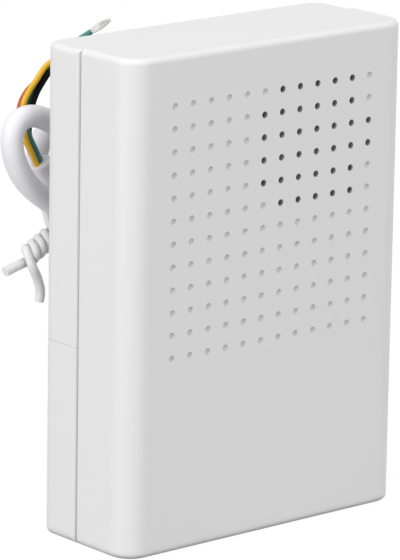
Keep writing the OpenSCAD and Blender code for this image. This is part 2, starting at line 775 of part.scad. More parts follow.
module capacitors() color([0.15, 0.2, 0.45]) {
  can_r = 0.6;
  for (c = capacitor_list)
    turned([board_x0 + c[0], c[1]]) translate([0, y_parts]) difference() {
      edge_section(c[2] / 2, c[3], can_r, can_r);
      rect(c[2] / 2 - 0.3, c[2] / 2 + 1, 1.2, 1.9);
    }
}

// Small three-legged regulator
module regulator() color([0.1, 0.1, 0.11])
  translate([pad_x - regulator_in, y_parts, speaker_pads_z - regulator_down]) {
  legs = 2.2;
  intersection() {
    rod([0, 0], 4.8, legs, legs + 4.6);
    block(-1.2, 3, 0, 10, -3, 3);
  }
  for (k = [-1 : 1]) block(-0.25, 0.25, 0, legs + eps, 1.27 * k - 0.25, 1.27 * k + 0.25);
}

module chip_resistors() color([0.12, 0.12, 0.14]) {
  for (k = [0 : 4]) translate([board_x0 + resistor_at, y_parts, board_z0 + resistor_up + resistor_pitch * k])
    block(-1.6, 1.6, 0, 0.6, -0.8, 0.8);
}

function core_pad(k) = [pad_x, y_pad, core_pads_z + k * pad_pitch];

module solder_joints() color("silver") {
  for (z = concat([for (k = [0 : 3]) core_pad(k)[2]],
      [for (s = [-1, 1]) speaker_pads_z + s * speaker_pad_pitch / 2]))
    turned([pad_x, z])
      polygon([[0, y_parts], [pad_r, y_parts], [pad_r * 0.75, y_pad], [0, y_pad]]);
}

// Cable inside the case

function core_corner(k) = core_place * [[1, 1], [-1, 1], [-1, -1], [1, -1]][k];

// Core k from the jacket's inner end to pad number pad
function inner_core(k, pad) = wire(
  [outlet[0] + core_corner(k)[0], y_inner_end, outlet[1] + core_corner(k)[1]], [0, -inner_leave[k], 0],
  core_pad(pad), [0, pad_leave, 0]);

module inner_core_red() color("red") tube(inner_core(0, 3), core_d);
module inner_core_yellow() color("gold") tube(inner_core(1, 2), core_d);
module inner_core_green() color("darkgreen") tube(inner_core(2, 1), core_d);
module inner_core_black() color([0.1, 0.1, 0.1]) tube(inner_core(3, 0), core_d);

module cable_inner() color([0.9, 0.9, 0.93]) rod(outlet, cable_d, y_inner_end, y_back);

// Nylon tie round the cable, which stops it at the grommet
module strain_tie() color("ivory") {
  y1 = y_back_in - grommet_inner_flange - seat_gap;
  y0 = y1 - strain_tie_w;
  r = cable_d / 2 + bore_gap;
  difference() {
    union() {
      rod(outlet, 2 * (r + strain_tie_t), y0, y1);
      block(outlet[0] - 2.2, outlet[0] + 2.2, y0, y1, outlet[1] - r - 3.4, outlet[1]);
    }
    rod(outlet, 2 * r, y0 - 1, y1 + 1);
  }
}

module cable_grommet() color([0.85, 0.85, 0.87]) turned(outlet) difference() {
  union() {
    rect(0, grommet_neck_d / 2, y_back_in - grommet_inner_flange, y_outlet);
    rect(0, grommet_d / 2, y_back_in - grommet_inner_flange, y_back_in);
    rect(0, grommet_d / 2, y_back, y_outlet);
  }
  rect(-1, cable_d / 2 + bore_gap, y_back_in - 10, y_outlet + 1);
  translate([grommet_d / 2 - 0.5, y_outlet - 0.5]) corner_cut(0.5);
}

// Cable behind the case

function hank_point(s, w, y) = [hank_at[0] + s * cos(hank_tilt) + w * sin(hank_tilt), y,
  hank_at[1] - s * sin(hank_tilt) + w * cos(hank_tilt)];
function hank_arc(s, w, r, a0, a1, y0, y1, n) = [for (i = [0 : n]) let (a = a0 + (a1 - a0) * i / n)
  hank_point(s + r * cos(a), w + r * sin(a), y0 + (y1 - y0) * ease(i / n))];
function behind(p, at = hank_at) = [at[0] + p[0], y_back + p[1], at[1] + p[2]];
function after(p) = [for (i = [1 : len(p) - 1]) p[i]];

// A loop next to the case, a smaller one two layers out, then a turn back between them
hank_start = hank_point(right_s, right_r, y_hank);
outer_right = hank_arc(right_s, 0, right_r, -90, 90, y_hank, y_hank + 2 * layer, 14);
inner_left = hank_arc(inner_s, inner_w, inner_r, 90, 270, y_hank + 2 * layer, y_hank + 2 * layer, 12);
turn_back = hank_arc(turn_s, turn_w, turn_r, 90, 90 - turn_angle, y_hank + 2 * layer, y_hank + layer, 14);
outer_loop = curve(concat([hank_start], [for (p = loop_route) hank_point(p[0], p[1], y_hank)],
  [outer_right[0]]), 3);
function between(a, b, n) = [for (i = [1 : n]) a + (b - a) * i / n];
hank_path = concat(outer_loop, after(outer_right), inner_left,
  between(inner_left[12], turn_back[0], 4), after(turn_back));
tail_path = curve(concat([turn_back[14]], [for (p = tail_route) hank_point(p[0], p[1], y_hank + layer)]), 3);
lead_path = concat([[outlet[0], y_back, outlet[1]]],
  curve(concat([for (p = lead_route) behind(p, outlet)], [hank_start]), 2));
jacket_end = tail_path[len(tail_path) - 1];
jacket_dir = path_dir(tail_path, len(tail_path) - 1);

echo(hank_gap = least_gap(concat(lead_path, after(hank_path), after(tail_path)), 9) - cable_d);

module cable_lead() color([0.9, 0.9, 0.93]) tube(lead_path, cable_d);
module cable_hank() color([0.9, 0.9, 0.93]) tube(hank_path, cable_d);
module cable_tail() color([0.9, 0.9, 0.93]) tube(tail_path, cable_d);

// Cores outside the jacket: packed in a square at its end, then spread side by side
core_side = square_to([0, 1, 0], jacket_dir);
core_left = cross(jacket_dir, core_side);
core_pack = [[1, 1], [1, -1], [-1, -1], [-1, 1]];
function fan_dir(i) = let (d = path_dir(core_route, i)) [-d[1], 0, d[0]];
function core_path(k) = let (a = jacket_end
    + core_place * (core_pack[k][0] * core_left + core_pack[k][1] * core_side))
  curve(concat([a, a + core_lead * jacket_dir],
    [for (i = [0 : len(core_route) - 1]) let (at = core_route[i], off = core_spread[i][k])
      behind([at[0], core_behind + off[1], at[1]]) + off[0] * fan_dir(i)],
    [for (p = core_ends[k]) behind(p)]), 2);
function core_tip(k) = let (p = core_path(k), n = len(p) - 1)
  [for (i = [0 : 3]) p[n] + unit(p[n] - p[n - 1]) * tip_len * i / 3];

module core_red() color("orangered") tube(core_path(0), core_d);
module core_yellow() color("gold") tube(core_path(1), core_d);
module core_green() color("darkslategray") tube(core_path(2), core_d);
module core_black() color([0.08, 0.1, 0.12]) tube(core_path(3), core_d);
module core_tips() color("silver") for (k = [0 : 3]) tube(core_tip(k), tip_d);

// Twist tie: one wire from its cut end, along the twist, round the hank and back
tie_a = behind(tie_start);
tie_b = behind(tie_end);
tie_up = cross([0, 1, 0], unit(tie_b - tie_a));
function tie_strand(phase) = [for (i = [0 : 12]) let (t = i / 12, a = phase + 360 * tie_turns * t)
  tie_a + t * (tie_b - tie_a) + tie_twist_r * (cos(a) * [0, 1, 0] + sin(a) * tie_up)];
function backwards(p) = [for (i = [len(p) - 1 : -1 : 0]) p[i]];
tie_out = backwards(tie_strand(tie_phase));
tie_in = tie_strand(tie_phase + 180);
tie_round = curve(concat([tie_out[12], behind(tie_rise)],
  [for (p = tie_ring) hank_point(tie_ring_s, p[0], y_back + p[1])], [tie_in[0]]), 3);
tie_path = concat(curve(concat([for (p = backwards(tie_stub)) behind(p)], [tie_out[0]]), 3),
  after(tie_out), after(tie_round), after(tie_in),
  after(curve(concat([tie_in[12]], [for (p = tie_tail) behind(p)]), 3)));

echo(tie_gap = least_gap(tie_path, 8) - tie_d);

module twist_tie() color([0.88, 0.88, 0.88]) tube(tie_path, tie_d);

front_cover();
rear_case();
lower_cover();
case_screws();
speaker_gasket();
speaker_surround();
speaker_frame();
speaker_cone();
speaker_dust_cap();
speaker_voice_coil();
speaker_top_plate();
speaker_magnet();
speaker_yoke();
speaker_terminal();
speaker_screws();
speaker_lead_red();
speaker_lead_black();
circuit_board();
board_screws();
sound_chip();
amplifier_chip();
capacitors();
regulator();
chip_resistors();
solder_joints();
inner_core_red();
inner_core_yellow();
inner_core_green();
inner_core_black();
cable_inner();
strain_tie();
cable_grommet();
cable_lead();
cable_hank();
cable_tail();
twist_tie();
core_red();
core_yellow();
core_green();
core_black();
core_tips();
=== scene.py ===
import json
import math
import random
import bmesh
import bpy
from mathutils import Matrix, Vector


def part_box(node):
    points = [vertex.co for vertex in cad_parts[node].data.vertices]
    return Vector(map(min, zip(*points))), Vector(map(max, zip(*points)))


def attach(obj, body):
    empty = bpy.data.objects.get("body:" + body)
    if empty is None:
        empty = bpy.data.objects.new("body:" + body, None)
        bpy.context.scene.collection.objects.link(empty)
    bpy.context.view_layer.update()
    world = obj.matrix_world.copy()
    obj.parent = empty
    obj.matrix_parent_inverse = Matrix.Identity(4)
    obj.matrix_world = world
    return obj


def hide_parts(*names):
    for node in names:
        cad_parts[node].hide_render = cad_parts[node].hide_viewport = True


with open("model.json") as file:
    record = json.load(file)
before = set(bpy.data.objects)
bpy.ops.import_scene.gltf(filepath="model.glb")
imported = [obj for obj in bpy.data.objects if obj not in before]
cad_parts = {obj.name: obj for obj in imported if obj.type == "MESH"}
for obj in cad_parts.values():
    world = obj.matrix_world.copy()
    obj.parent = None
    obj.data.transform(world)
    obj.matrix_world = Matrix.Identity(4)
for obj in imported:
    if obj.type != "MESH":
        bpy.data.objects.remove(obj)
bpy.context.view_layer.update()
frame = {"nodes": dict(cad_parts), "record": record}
nodes = frame["nodes"]
scene = bpy.context.scene
scene.view_settings.view_transform = "Standard"
mm = 0.001
smoothAngle = math.radians(35)  # flatter edges are shaded smooth
print("frame loaded, nodes:", len(nodes))

# camera where the photograph was taken from
shot = {
    "place": (-0.695156, -0.808509, 0.332735),
    "right": (0.764309, -0.644653, 0.015938),
    "up": (0.148685, 0.200225, 0.968402),
    "lens": 294.326, "sensor": 36.0, "clip": (0.05, 20.0),
}


def makeCamera():
    right, up = Vector(shot["right"]), Vector(shot["up"])
    turn = Matrix((right, up, right.cross(up))).transposed()
    data = bpy.data.cameras.new("photoCamera")
    data.lens = shot["lens"]
    data.sensor_width = shot["sensor"]
    data.clip_start, data.clip_end = shot["clip"]
    camera = bpy.data.objects.new("photoCamera", data)
    scene.collection.objects.link(camera)
    camera.matrix_world = Matrix.Translation(shot["place"]) @ turn.to_4x4()
    scene.camera = camera


makeCamera()
print("camera set")


# shader helpers
def newMaterial(name):
    material = bpy.data.materials.new(name)
    material.use_nodes = True
    tree = material.node_tree
    return material, tree, tree.nodes["Principled BSDF"]


def link(tree, source, target):
    tree.links.new(source, target)


def setInputs(node, values):
    for name, value in values.items():
        node.inputs[name.replace("_", " ")].default_value = value


def addNode(tree, kind, **values):
    node = tree.nodes.new(kind)
    setInputs(node, values)
    return node


# a socket among the values is linked, a number is set, and None leaves its input as it is
def addMath(tree, operation, *values, kind="ShaderNodeMath"):
    node = tree.nodes.new(kind)
    node.operation = operation
    for target, value in zip(node.inputs, values):
        if isinstance(value, bpy.types.NodeSocket):
            link(tree, value, target)
        elif value is not None:
            target.default_value = value
    return node.outputs[0]


def multiplyVectors(tree, first, second):
    return addMath(tree, "MULTIPLY", first, second, kind="ShaderNodeVectorMath")


def scaleColour(tree, colour, factor):
    return addMath(tree, "SCALE", colour, None, None, factor, kind="ShaderNodeVectorMath")


def newGroup(name, givenSockets, madeSockets):
    group = bpy.data.node_groups.new(name, "ShaderNodeTree")
    for socketName, kind, value in givenSockets:
        socket = group.interface.new_socket(socketName, in_out="INPUT", socket_type="NodeSocket" + kind)
        if value is not None:
            socket.default_value = value
    for socketName, kind in madeSockets:
        group.interface.new_socket(socketName, in_out="OUTPUT", socket_type="NodeSocket" + kind)
    return group, group.nodes.new("NodeGroupInput"), group.nodes.new("NodeGroupOutput")


# fine moulding grain: a tone that drifts slowly, a roughness and a height
def makeGrainGroup():
    group, given, made = newGroup(
        "mouldingGrain",
        [("Drift Scale", "Float", 30.0), ("Grain Scale", "Float", 1500.0), ("Tone Depth", "Float", 0.02),
         ("Roughness", "Float", 0.45), ("Roughness Depth", "Float", 0.06), ("Colour", "Color", None)],
        [("Colour", "Color"), ("Roughness", "Float"), ("Height", "Float")])
    place = group.nodes.new("ShaderNodeTexCoord")
    drift = addNode(group, "ShaderNodeTexNoise", Detail=3.0)
    grain = addNode(group, "ShaderNodeTexNoise", Detail=2.0)
    for noise, scale in ((drift, "Drift Scale"), (grain, "Grain Scale")):
        link(group, place.outputs["Object"], noise.inputs["Vector"])
        link(group, given.outputs[scale], noise.inputs["Scale"])
    centred = addMath(group, "SUBTRACT", drift.outputs["Fac"], 0.5)
    tone = addMath(group, "MULTIPLY_ADD", centred, given.outputs["Tone Depth"], 1.0)
    rough = addMath(group, "MULTIPLY_ADD", centred, given.outputs["Roughness Depth"],
                    given.outputs["Roughness"])
    link(group, scaleColour(group, given.outputs["Colour"], tone), made.inputs["Colour"])
    link(group, rough, made.inputs["Roughness"])
    link(group, grain.outputs["Fac"], made.inputs["Height"])
    return group


# fine lines drawn along one axis, for plated and pressed metal
def makeLinesGroup():
    group, given, made = newGroup(
        "drawnLines",
        [("Colour", "Color", None), ("Stretch", "Vector", None), ("Roughness", "Float", 0.35)],
        [("Colour", "Color"), ("Roughness", "Float"), ("Height", "Float")])
    place = group.nodes.new("ShaderNodeTexCoord")
    lines = addNode(group, "ShaderNodeTexNoise", Scale=1.0, Detail=4.0)
    stretched = multiplyVectors(group, place.outputs["Object"], given.outputs["Stretch"])
    link(group, stretched, lines.inputs["Vector"])
    tone = addNode(group, "ShaderNodeMapRange", To_Min=0.88, To_Max=1.12)
    link(group, lines.outputs["Fac"], tone.inputs["Value"])
    rough = addMath(group, "MULTIPLY", given.outputs["Roughness"], tone.outputs[0])
    link(group, scaleColour(group, given.outputs["Colour"], tone.outputs[0]), made.inputs["Colour"])
    link(group, rough, made.inputs["Roughness"])
    link(group, lines.outputs["Fac"], made.inputs["Height"])
    return group


# painted shade in narrow places: the colour is darkened where light does not get in between close surfaces
def makeCreviceGroup():
    group, given, made = newGroup(
        "creviceShade",
        [("Colour", "Color", None), ("Reach", "Float", 0.0026), ("Depth", "Float", 0.5)],
        [("Colour", "Color")])
    closed = group.nodes.new("ShaderNodeAmbientOcclusion")
    closed.samples = 8
    link(group, given.outputs["Reach"], closed.inputs["Distance"])
    depth = addMath(group, "POWER", closed.outputs["AO"], given.outputs["Depth"])
    link(group, scaleColour(group, given.outputs["Colour"], depth), made.inputs["Colour"])
    return group


grainGroup = makeGrainGroup()
linesGroup = makeLinesGroup()
creviceGroup = makeCreviceGroup()


def placeGroup(tree, group, **values):
    placed = tree.nodes.new("ShaderNodeGroup")
    placed.node_tree = group
    setInputs(placed, values)
    return placed


def surfaceFrom(tree, shader, group, bump, bumpHeight, **values):
    placed = placeGroup(tree, group, **values)
    raised = addNode(tree, "ShaderNodeBump", Strength=bump, Distance=bumpHeight)
    link(tree, placed.outputs["Height"], raised.inputs["Height"])
    link(tree, placed.outputs["Colour"], shader.inputs["Base Color"])
    link(tree, placed.outputs["Roughness"], shader.inputs["Roughness"])
    link(tree, raised.outputs["Normal"], shader.inputs["Normal"])
    return placed


relief = {"plasticHeight": 0.00005, "metalHeight": 0.00004, "metalBump": 0.12}


def plasticMaterial(name, colour, roughness, grain=1500.0, bump=0.15, tone=0.03, coat=0.0, specular=0.5,
                    crevice=None):
    material, tree, shader = newMaterial(name)
    surface = surfaceFrom(tree, shader, grainGroup, bump, relief["plasticHeight"], Colour=(*colour, 1.0),
                          Grain_Scale=grain, Tone_Depth=tone, Roughness=roughness)
    # crevice paints shade into the colour where close surfaces keep light out
    if crevice:
        reach, depth = crevice
        shaded = placeGroup(tree, creviceGroup, Reach=reach, Depth=depth)
        link(tree, surface.outputs["Colour"], shaded.inputs["Colour"])
        link(tree, shaded.outputs["Colour"], shader.inputs["Base Color"])
    setInputs(shader, {"Coat Weight": coat, "Specular IOR Level": specular})
    return material


def metalMaterial(name, colour, roughness, stretch):
    material, tree, shader = newMaterial(name)
    surfaceFrom(tree, shader, linesGroup, relief["metalBump"], relief["metalHeight"], Colour=(*colour, 1.0),
                Stretch=stretch, Roughness=roughness)
    setInputs(shader, {"Metallic": 1.0})
    return material


finishes = {
    "case_plastic": plasticMaterial("casePlastic", (0.84, 0.84, 0.84), 0.42,
                                    grain=2600.0, bump=0.1, tone=0.015, crevice=(0.0026, 0.55)),
    "screw_steel": metalMaterial("zincScrew", (0.62, 0.63, 0.65), 0.32, (900.0, 4000.0, 900.0)),
    "pressed_steel": metalMaterial("pressedSteel", (0.55, 0.56, 0.58), 0.38, (2500.0, 200.0, 2500.0)),
    "tin": metalMaterial("tinnedWire", (0.72, 0.71, 0.68), 0.28, (1500.0, 1500.0, 1500.0)),
    "copper": metalMaterial("enamelledCopper", (0.6, 0.26, 0.1), 0.3, (300.0, 9000.0, 300.0)),
    "ferrite": plasticMaterial("ferrite", (0.035, 0.035, 0.038), 0.6, grain=900.0, bump=0.4, tone=0.3),
    "foam": plasticMaterial("gasketFoam", (0.03, 0.03, 0.032), 0.9, grain=2200.0, bump=0.8, tone=0.3),
    "surround_rubber": plasticMaterial("surroundCloth", (0.012, 0.012, 0.012), 0.7,
                                       grain=3000.0, bump=0.5, tone=0.2),
    "cone_paper": plasticMaterial("conePaper", (0.03, 0.03, 0.033), 0.85, grain=1800.0, bump=0.7, tone=0.35),
    "tag_board": plasticMaterial("phenolicTag", (0.22, 0.1, 0.035), 0.55, grain=700.0, bump=0.2, tone=0.25),
    "epoxy_black": plasticMaterial("epoxyBlack", (0.012, 0.012, 0.012), 0.4,
                                   grain=2000.0, bump=0.25, tone=0.3),
    "capacitor_sleeve": plasticMaterial("shrunkSleeve", (0.012, 0.016, 0.06), 0.25,
                                        grain=600.0, bump=0.08, coat=0.3),
    "jacket_pvc": plasticMaterial("jacketPvc", (0.9, 0.89, 0.93), 0.4,
                                  grain=900.0, bump=0.12, tone=0.05, crevice=(0.012, 0.32)),
    "core_red_pvc": plasticMaterial("coreRed", (0.5, 0.08, 0.022), 0.33, grain=1400.0, bump=0.08, tone=0.08),
    "core_yellow_pvc": plasticMaterial("coreYellow", (0.84, 0.49, 0.014), 0.36,
                                       grain=1400.0, bump=0.08, tone=0.08),
    "core_green_pvc": plasticMaterial("coreGreen", (0.042, 0.22, 0.2), 0.36,
                                      grain=1400.0, bump=0.08, tone=0.1),
    "core_black_pvc": plasticMaterial("coreBlack", (0.004, 0.005, 0.007), 0.45,
                                      grain=1400.0, bump=0.08, tone=0.1, specular=0.12),
    "nylon": plasticMaterial("naturalNylon", (0.72, 0.7, 0.62), 0.4, grain=1000.0, bump=0.1),
    "grommet_rubber": plasticMaterial("grommetRubber", (0.6, 0.6, 0.63), 0.6,
                                      grain=1200.0, bump=0.25, tone=0.06),
    "tie_pvc": plasticMaterial("tiePvc", (0.88, 0.88, 0.88), 0.38,
                               grain=1100.0, bump=0.12, tone=0.05, crevice=(0.0026, 0.7)),
}

# green board with faint copper tracks under the mask
board = {
    "colour": (0.012, 0.11, 0.035), "roughness": 0.3, "grain": 1200.0, "tone": 0.15, "bump": 0.15,
    "bumpHeight": 0.00004, "trackScale": 90.0, "trackWidth": 0.03, "trackTint": (1.9, 1.7, 1.5),
}


def boardMaterial():
    material, tree, shader = newMaterial("solderMask")
    surface = surfaceFrom(tree, shader, grainGroup, board["bump"], board["bumpHeight"],
                          Colour=(*board["colour"], 1.0), Grain_Scale=board["grain"],
                          Tone_Depth=board["tone"], Roughness=board["roughness"])
    plain = (1.0, 1.0, 1.0, 1.0)
    place = tree.nodes.new("ShaderNodeTexCoord")
    turned = addNode(tree, "ShaderNodeMapping", Rotation=(math.radians(90), 0.0, 0.0))
    tracks = addNode(tree, "ShaderNodeTexBrick", Scale=board["trackScale"], Mortar_Size=board["trackWidth"],
                     Color1=plain, Color2=plain, Mortar=(*board["trackTint"], 1.0))
    link(tree, place.outputs["Object"], turned.inputs["Vector"])
    link(tree, turned.outputs["Vector"], tracks.inputs["Vector"])
    tracked = multiplyVectors(tree, surface.outputs["Colour"], tracks.outputs["Color"])
    link(tree, tracked, shader.inputs["Base Color"])
    return material


finishes["board_green"] = boardMaterial()


def dress(piece, slotName):
    piece.data.materials.clear()
    piece.data.materials.append(finishes[slotName])


slotOf = {part["node"]: part["material_slot"] for part in frame["record"]["subparts"]}
for nodeName, nodeObject in nodes.items():
    dress(nodeObject, slotOf[nodeName])
print("materials made:", len(finishes))

# cable and its route, in millimetres: s runs along the hank behind the case, w across it
cable = {
    "diameter": 5.5, "coreDiameter": 1.4, "leadDiameter": 1.2, "tieDiameter": 2.35, "strandDiameter": 0.32,
    "jacketUneven": 0.012, "coreUneven": 0.01, "tieUneven": 0.02,
}
case = {"back": 16.5, "outlet": (3.0, 78.5), "innerEnd": 7.0}
hank = {
    "at": (-36.8, 91.4), "tilt": 34.0, "clear": 10.5, "layer": 6.1, "rounds": 4,
    "loop": [(17, 9.1), (9, 8.2), (3.3, 7.6), (-1.1, 7.2), (-4.8, 6.2), (-7.3, 4.3), (-8.3, 1.7),
             (-7.4, -1.4), (-4.8, -4.4), (-0.7, -7), (4.6, -8.6), (10.5, -8.9), (15.8, -8.8), (22.5, -9.4)],
    "rightR": 10.6, "rightS": 30.0, "innerR": 7.5, "innerS": 18.1, "innerW": 4.9,
    "turnR": 7.5, "turnS": 33.0, "turnAngle": 215.0,
    "tail": [(22.5, -12), (15.2, -4.2), (8.7, -0.9)],
    "lead": [(3, 1.6, 78.5), (2.4, 4.6, 78.9), (0.2, 7.6, 80.1), (-3.2, 8.9, 82)],
    "arcSteps": 42, "innerSteps": 36, "leadSteps": 6, "loopSteps": 8, "runSteps": 6, "tailSteps": 9,
}


def behind(point):
    return Vector((point[0], case["back"] + point[1], point[2]))


def hankPoint(s, w, y):
    tilt = math.radians(hank["tilt"])
    return Vector((hank["at"][0] + s * math.cos(tilt) + w * math.sin(tilt), y,
                   hank["at"][1] - s * math.sin(tilt) + w * math.cos(tilt)))


# an arc in the hank's plane that moves evenly from one layer to the next
def hankArc(s, w, r, fromAngle, toAngle, fromY, toY, steps):
    points = []
    for i in range(steps + 1):
        t = i / steps
        a = math.radians(fromAngle + (toAngle - fromAngle) * t)
        y = fromY + (toY - fromY) * t * t * (3 - 2 * t)
        points.append(hankPoint(s + r * math.cos(a), w + r * math.sin(a), y))
    return points


def smoothCurve(points, steps):
    made, last = [], len(points) - 1
    for i in range(last):
        a, b, c, d = points[max(i - 1, 0)], points[i], points[i + 1], points[min(i + 2, last)]
        for k in range(steps):
            t = k / steps
            made.append(0.5 * (2 * b + (c - a) * t + (2 * a - 5 * b + 4 * c - d) * t ** 2
                               + (3 * b - a - 3 * c + d) * t ** 3))
    return made + [points[last]]


# takes off the small corners where two stretches of a route meet
def soften(points, rounds):
    for _ in range(rounds):
        eased = [(a + 2 * b + c) / 4 for a, b, c in zip(points, points[1:], points[2:])]
        points = points[:2] + eased[1:-1] + points[-2:]
    return points


def jacketRoute():
    y = case["back"] + hank["clear"]
    far, between = y + 2 * hank["layer"], y + hank["layer"]
    loopSteps, runSteps = hank["loopSteps"], hank["runSteps"]
    start = hankPoint(hank["rightS"], hank["rightR"], y)
    right = hankArc(hank["rightS"], 0, hank["rightR"], -90, 90, y, far, hank["arcSteps"])
    inner = hankArc(hank["innerS"], hank["innerW"], hank["innerR"], 90, 270, far, far, hank["innerSteps"])
    turn = hankArc(hank["turnS"], hank["innerW"] - hank["innerR"] - hank["turnR"], hank["turnR"], 90,
                   90 - hank["turnAngle"], far, between, hank["arcSteps"])
    out = Vector((case["outlet"][0], case["innerEnd"], case["outlet"][1]))
    lead = smoothCurve([behind(p) for p in hank["lead"]] + [start], hank["leadSteps"])
    loop = smoothCurve([start] + [hankPoint(s, w, y) for s, w in hank["loop"]] + [right[0]], loopSteps)
    over = smoothCurve([right[-2], right[-1], inner[0], inner[1]], loopSteps)[loopSteps + 1:2 * loopSteps]
    run = [inner[-1].lerp(turn[0], k / runSteps) for k in range(1, runSteps)]
    tail = smoothCurve([turn[-1]] + [hankPoint(s, w, between) for s, w in hank["tail"]], hank["tailSteps"])
    route = [out] + lead + loop[1:] + right[1:] + over + inner + run + turn + tail[1:]
    return soften(route, hank["rounds"])


wave = {"quick": 0.37, "slow": 0.11, "shift": 1.0}  # how a cord's thickness wanders along it


def addCord(name, routes, diameter, roundness=5, uneven=0.0):
    data = bpy.data.curves.new(name, "CURVE")
    data.dimensions = "3D"
    data.bevel_depth = diameter / 2 * mm
    data.bevel_resolution = roundness
    data.use_fill_caps = True
    for route in routes:
        spline = data.splines.new("POLY")
        spline.points.add(len(route) - 1)
        spline.use_smooth = True
        for i, (point, spot) in enumerate(zip(spline.points, route)):
            quick, slow = math.sin(wave["quick"] * i), math.sin(wave["slow"] * i + wave["shift"])
            point.co = (*(spot * mm), 1.0)
            point.radius = 1.0 + uneven * quick * slow
    piece = bpy.data.objects.new(name, data)
    scene.collection.objects.link(piece)
    return piece


def routeLength(route):
    return sum((b - a).length for a, b in zip(route, route[1:])) * mm


def settle(piece, slotName, *replaced, body="case"):
    dress(piece, slotName)
    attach(piece, body)
    if replaced:
        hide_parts(*replaced)


jacketPoints = jacketRoute()
jacketEnd = jacketPoints[-1]
jacketDir = (jacketPoints[-1] - jacketPoints[-2]).normalized()
jacket = addCord("cableJacket", [jacketPoints], cable["diameter"], roundness=8, uneven=cable["jacketUneven"])
settle(jacket, "jacket_pvc", "cable_inner", "cable_lead", "cable_hank", "cable_tail")
print("jacket laid, metres:", round(routeLength(jacketPoints), 4))

# four cores: a shared route, each core's place beside and behind it, and its own end
cores = {
    "names": ("red", "yellow", "green", "black"),
    "behind": 16.6, "place": 0.9, "first": 0.8, "stripped": 6.0, "steps": 6,
    "route": [(-32.7, 89.2), (-34.2, 92.4), (-34.9, 96.4), (-34.4, 100.4), (-33.5, 103.3),
              (-31.7, 105.8), (-28.6, 109.1)],
    "spread": [[(0.2, 1), (0.85, -0.5), (-0.6, -0.15), (-1.35, 1.05)],
               [(0.3, 1.1), (0.95, -0.45), (-0.5, -0.1), (-1.35, 1.1)],
               [(1.4, 1.2), (1.2, -0.5), (-0.1, 0.4), (-1.8, 0.6)],
               [(1.25, 1.1), (1.5, -0.35), (-1, 1.3), (-1.4, -0.2)],
               [(0.35, 1.05), (1, -0.5), (-1.3, 1.3), (-1.6, -0.3)],
               [(-0.3, 0.6), (0.65, -0.5), (-1.5, 1.4), (-1.5, -0.3)],
               [(-0.6, 1.15), (0.65, -0.55), (-1.75, 0.35), (-0.95, -1)]],
    "ends": [[(-25.2, 18.9, 107.6), (-20.6, 19.7, 108.6), (-15.2, 20.2, 109.4)],
             [(-25.8, 15.4, 111), (-22.8, 14.9, 111.6), (-19.2, 14.9, 111.1)],
             [(-25.2, 16.9, 109.6), (-22.2, 16.9, 111.9), (-20.2, 16.3, 113.9), (-19, 15.6, 115),
              (-16.4, 15, 116.4)],
             [(-25.8, 15.2, 108.6), (-22.8, 14.9, 108.9), (-19.1, 14.9, 108.6)]],
    "pack": [(0.7, 1.5), (1.5, -0.1), (-0.1, 0.25), (-1, 1.6)],
}
coreSide = (Vector((0, 1, 0)) - jacketDir * jacketDir.y).normalized()
coreLeft = jacketDir.cross(coreSide)


def coreRoute(k):
    left, back = cores["pack"][k]
    start = jacketEnd + cores["place"] * (left * coreLeft + back * coreSide)
    points = [start, start + cores["first"] * jacketDir]
    route = [Vector(p) for p in cores["route"]]
    for i, spot in enumerate(route):
        along = (route[min(i + 1, len(route) - 1)] - route[max(i - 1, 0)]).normalized()
        across, away = cores["spread"][i][k]
        middle = behind((spot.x, cores["behind"] + away, spot.y))
        points.append(middle + across * Vector((-along.y, 0, along.x)))
    return smoothCurve(points + [behind(p) for p in cores["ends"][k]], cores["steps"])


# bare strands at a core's end: one in the middle and the rest round it
strand = {
    "around": 6, "steps": 16, "lap": 0.8, "twist": 2.2, "gather": 0.3, "shorten": 0.1, "seed": 11,
    "bow": {"green": 0.95}, "bowTwist": 0.5, "leastLean": 0.45, "moreLean": 0.55,
}


# twisted, or bowed apart and drawn together again where bow is above 0
def addStrands(name, route, bow, seed):
    draw = random.Random(seed)
    tip = route[-1]
    along = (route[-1] - route[-3]).normalized()
    side = along.cross(Vector((0, 1, 0))).normalized()
    other = along.cross(side)
    thick = cable["strandDiameter"]
    lap = strand["lap"]  # start of the strands inside the core
    twist = strand["bowTwist"] if bow else strand["twist"]
    strands = []
    for n in range(strand["around"] + 1):
        turn = math.radians(360 / strand["around"] * n)
        lean = bow * (strand["leastLean"] + strand["moreLean"] * draw.random())
        length = cores["stripped"] * (1.0 - strand["shorten"] * draw.random())
        points = []
        for i in range(strand["steps"] + 1):
            t = i / strand["steps"]
            a = turn + twist * t
            reach = thick * (1.0 - strand["gather"] * t) + lean * math.sin(math.pi * t)
            if n == strand["around"]:
                reach = 0.0
            points.append(tip - lap * along + along * (length + lap) * t
                          + reach * (math.cos(a) * side + math.sin(a) * other))
        strands.append(points)
    return addCord(name, strands, thick, roundness=3)


for k, colour in enumerate(cores["names"]):
    route = coreRoute(k)
    bow = strand["bow"].get(colour, 0.0)
    strands = addStrands("strands" + colour.capitalize(), route, bow, strand["seed"] + k)
    settle(strands, "tin", "core_tips")
    core = addCord("core" + colour.capitalize(), [route], cable["coreDiameter"], uneven=cable["coreUneven"])
    settle(core, f"core_{colour}_pvc", f"core_{colour}")
print("cores laid:", len(cores["names"]))

